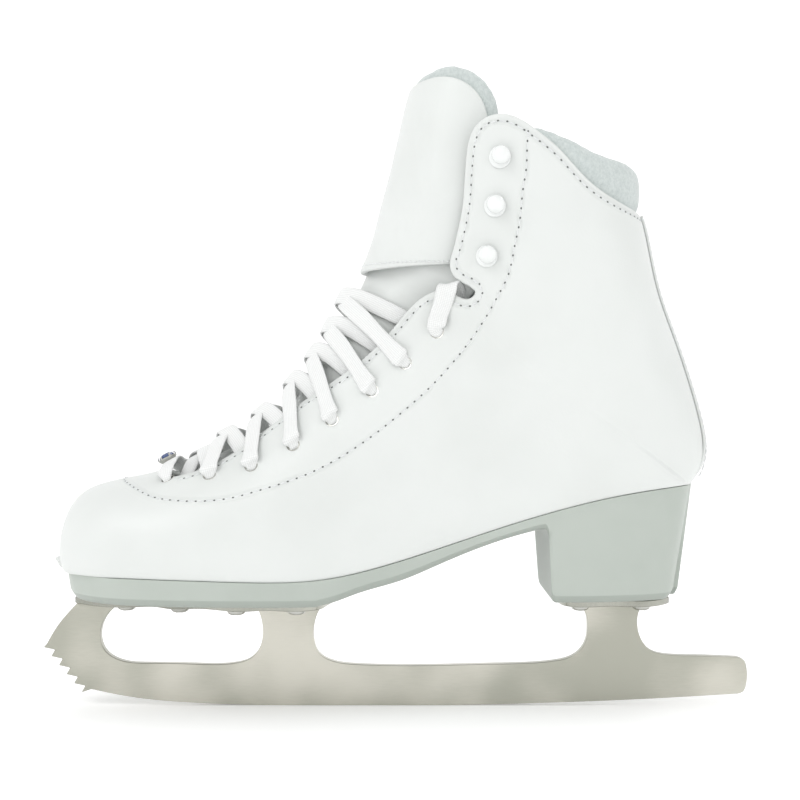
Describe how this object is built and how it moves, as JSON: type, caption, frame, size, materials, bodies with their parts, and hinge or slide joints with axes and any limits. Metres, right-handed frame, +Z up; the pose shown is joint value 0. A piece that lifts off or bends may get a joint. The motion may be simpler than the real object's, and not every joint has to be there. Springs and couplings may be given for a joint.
{
  "type": "figure skate",
  "caption": "Laced leather figure skate boot with a padded tongue and collar, moulded sole and heel, and a screwed-on steel blade with a toe pick.",
  "frame": {"origin": "centre of the overall box in X and Y, at the lowest line of the blade", "axes": "+Z up from the ice, -X towards the toe pick and +X towards the heel, +Y towards the far side of the boot"},
  "size_m": [0.2852, 0.0936, 0.2566],
  "materials": {
    "white_leather": "smooth coated white leather, semi-matte, with fine stitch holes",
    "grey_fleece": "brushed grey knitted lining over foam",
    "grey_sole": "moulded grey sole unit, satin",
    "board": "pressed fibre board",
    "stiffener": "thermoformed stiffener sheet",
    "footbed": "grey textile over foam",
    "blade_steel": "nickel plated steel, satin polished",
    "plate_steel": "nickel plated pressed steel",
    "spring_steel": "plain spring steel strip",
    "nickel": "polished nickel",
    "white_enamel": "white enamelled hook heads, glossy",
    "white_cotton": "flat woven white lace",
    "blue_crystal": "foil-backed faceted dark blue crystal"
  },
  "bodies": {
    "boot": {"aglet_far": "nickel", "aglet_near": "nickel", "backstay": "white_leather", "blade_runner": "blade_steel", "charm_crystal": "blue_crystal", "charm_setting": "nickel", "collar": "grey_fleece", "eyelet_far_1": "nickel", "eyelet_far_2": "nickel", "eyelet_far_3": "nickel", "eyelet_far_4": "nickel", "eyelet_far_5": "nickel", "eyelet_far_6": "nickel", "eyelet_far_7": "nickel", "eyelet_far_8": "nickel", "eyelet_near_1": "nickel", "eyelet_near_2": "nickel", "eyelet_near_3": "nickel", "eyelet_near_4": "nickel", "eyelet_near_5": "nickel", "eyelet_near_6": "nickel", "eyelet_near_7": "nickel", "eyelet_near_8": "nickel", "footbed": "footbed", "heel_counter": "stiffener", "heel_plate": "plate_steel", "heel_screw_1": "nickel", "heel_screw_2": "nickel", "heel_screw_3": "nickel", "heel_screw_4": "nickel", "hook_far_1": "white_enamel", "hook_far_2": "white_enamel", "hook_far_3": "white_enamel", "hook_near_1": "white_enamel", "hook_near_2": "white_enamel", "hook_near_3": "white_enamel", "insole_board": "board", "lace": "white_cotton", "lace_hank_far": "white_cotton", "lace_hank_near": "white_cotton", "lace_tail_far": "white_cotton", "lace_tail_near": "white_cotton", "lining": "grey_fleece", "outsole": "grey_sole", "shank": "spring_steel", "sole_plate": "plate_steel", "sole_screw_1": "nickel", "sole_screw_2": "nickel", "sole_screw_3": "nickel", "sole_screw_4": "nickel", "sole_screw_5": "nickel", "sole_screw_6": "nickel", "sole_screw_7": "nickel", "sole_screw_8": "nickel", "toe_puff": "stiffener", "tongue_base": "white_leather", "upper": "white_leather"},
    "tongue": {"tongue_upper": "white_leather", "tongue_padding": "grey_fleece"}
  },
  "joints": [
    {"name": "tongue_flex", "type": "hinge", "parent": "boot", "child": "tongue", "pos_m": [-0.016, 0, 0.1742], "axis": [0, -1, 0], "range_deg": [-3, 35]}
  ]
}
